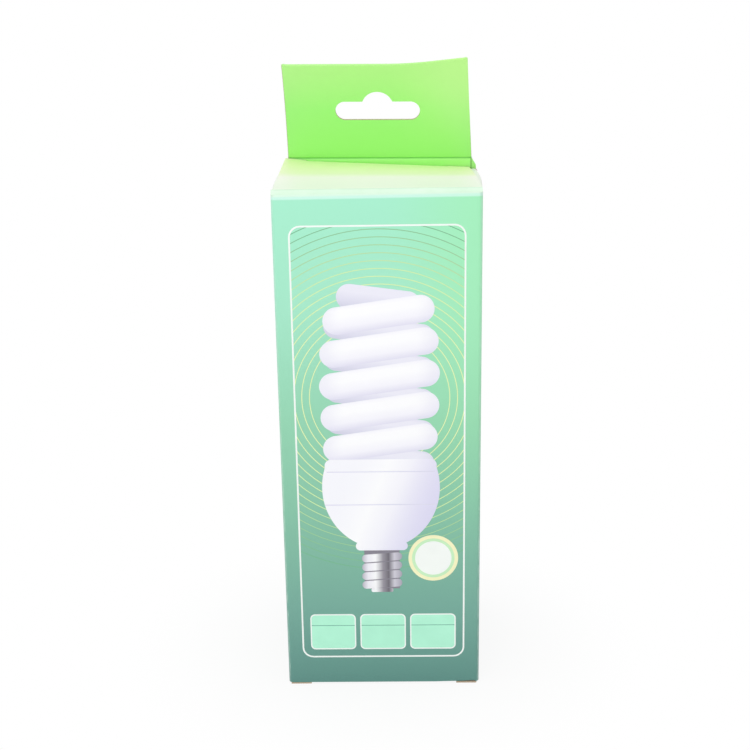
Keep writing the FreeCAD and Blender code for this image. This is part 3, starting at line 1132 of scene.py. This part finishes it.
def tube_paint(slope, turn, dark, middle, light):
    def paint(tree, spot):
        axes = add_node(tree, "SeparateXYZ", {0: spot}).outputs
        lean = calculate(tree, "MULTIPLY", axes["X"], -math.tan(math.radians(slope)))
        level = calculate(tree, "ADD", axes["Z"], lean)
        level = calculate(tree, "SUBTRACT", level, (turn - turn_pitch / 2) * mm)
        place = calculate(tree, "FRACT", calculate(tree, "DIVIDE", level, turn_pitch * mm))
        shades = ((0.06, dark), (0.3, middle), (0.6, light), (0.8, light), (0.95, middle))
        tube = blend_inks(tree, place, [(stop, ink(*shade)) for stop, shade in shades])
        ends = fade(tree, calculate(tree, "ABSOLUTE", axes["X"]), 12 * mm, 21 * mm, 0.0, 0.45)
        return mix_inks(tree, ends, tube, ink(*dark))
    return paint


def bowl_paint(tree, spot):
    axes = add_node(tree, "SeparateXYZ", {0: spot}).outputs
    low = calculate(tree, "MULTIPLY", calculate(tree, "SUBTRACT", axes["Z"], (lamp_foot + 40) * mm), -0.4)
    shade = fade(tree, calculate(tree, "ADD", axes["X"], low), -16 * mm, 24 * mm)
    stops = [
        (0.0, ink(247, 247, 253)),
        (0.3, ink(253, 253, 255)),
        (0.6, ink(245, 244, 252)),
        (1.0, ink(220, 217, 242)),
    ]
    return blend_inks(tree, shade, stops)


def cap_paint(tree, spot):
    axes = add_node(tree, "SeparateXYZ", {0: spot}).outputs
    across = calculate(tree, "DIVIDE", calculate(tree, "ADD", axes["X"], 7.5 * mm), 15 * mm)
    stops = [
        (0.0, ink(176, 172, 186)),
        (0.16, ink(238, 236, 244)),
        (0.34, ink(250, 250, 252)),
        (0.52, ink(150, 146, 156)),
        (0.66, ink(106, 102, 112)),
        (0.80, ink(206, 203, 214)),
        (1.0, ink(160, 156, 172)),
    ]
    return blend_inks(tree, across, stops)


bowl_ink = board_finish("bowl ink", bowl_paint)
cap_ink = board_finish("cap ink", cap_paint)
print("inks:", bowl_ink.name, "and", cap_ink.name)

# %% Tube inks
front_tube = tube_paint(tube_slope, first_turn, (224, 222, 240), (245, 244, 252), (253, 253, 255))
rear_turn = first_turn + turn_pitch / 2
rear_tube = tube_paint(-tube_slope, rear_turn, (204, 204, 224), (222, 221, 238), (236, 235, 247))
front_tube_ink = board_finish("front tube ink", front_tube)
rear_tube_ink = board_finish("rear tube ink", rear_tube)
print("inks:", front_tube_ink.name, "and", rear_tube_ink.name)

# %% Lamp tube
rear_thickness = 9.0
rear_half = 19.2
last_half = 14.5
front_thickness = 9.8
front_halves = (20.4, 21.0, 21.2, 20.8, 19.4)
bm = bmesh.new()
for number in range(-1, 4):
    pill(bm, 0, rear_turn + turn_pitch * number, rear_half, rear_thickness, -tube_slope)
pill(bm, 0, rear_turn + turn_pitch * 3.94, last_half, rear_thickness, -tube_slope)
print_on_front("print_lamp_rear_turns", bm, rear_tube_ink, 0.03)
bm = bmesh.new()
for number, half_length in enumerate(front_halves):
    pill(bm, 0, first_turn + turn_pitch * number, half_length, front_thickness, tube_slope)
print_on_front("print_lamp_front_turns", bm, front_tube_ink, 0.045)

# %% Lamp bowl
bowl_radius = 21.0
bowl_stretch = 1.12
bowl_rim = lamp_foot + 49.5
bowl_foot = lamp_foot + 19
bm = bmesh.new()
disc(bm, 0, 0, bowl_radius)
bmesh.ops.scale(bm, verts=bm.verts, vec=(1, bowl_stretch, 1))
bmesh.ops.translate(bm, verts=bm.verts, vec=(0, (lamp_foot + 41) * mm, 0))
trim(bm, (0, bowl_rim), (0, 1))
trim(bm, (0, bowl_foot), (0, -1))
print_on_front("print_lamp_bowl", bm, bowl_ink, 0.06)
bm = bmesh.new()
field(bm, 0, lamp_foot + 34.5, 40.2, 0.35, 0)
print_on_front("print_lamp_seam", bm, lilac_ink, 0.07)
bm = bmesh.new()
pill(bm, 0, bowl_rim, 19.9, 4.6, 0)
print_on_front("print_lamp_rim", bm, bowl_ink, 0.07)
bm = bmesh.new()
field(bm, 0, lamp_foot + 47.1, 38.4, 0.35, 0)
print_on_front("print_lamp_rim_shade", bm, lilac_ink, 0.08)

# %% Lamp cap
thread_pitch = 3.5
bm = bmesh.new()
field(bm, 0, lamp_foot + 10.0, 12.8, 17.0, 0)
print_on_front("print_lamp_cap", bm, steel_ink, 0.05)
bm = bmesh.new()
for number in range(4):
    pill(bm, 0, lamp_foot + 3.4 + thread_pitch * number, 7.3, 3.1, 4)
field(bm, 0, lamp_foot + 0.9, 8.0, 1.6, 0.6)
print_on_front("print_lamp_thread", bm, cap_ink, 0.065)
bm = bmesh.new()
pill(bm, 0, lamp_foot + 18.4, 9.4, 3.4, 0)
print_on_front("print_lamp_collar", bm, bowl_ink, 0.075)
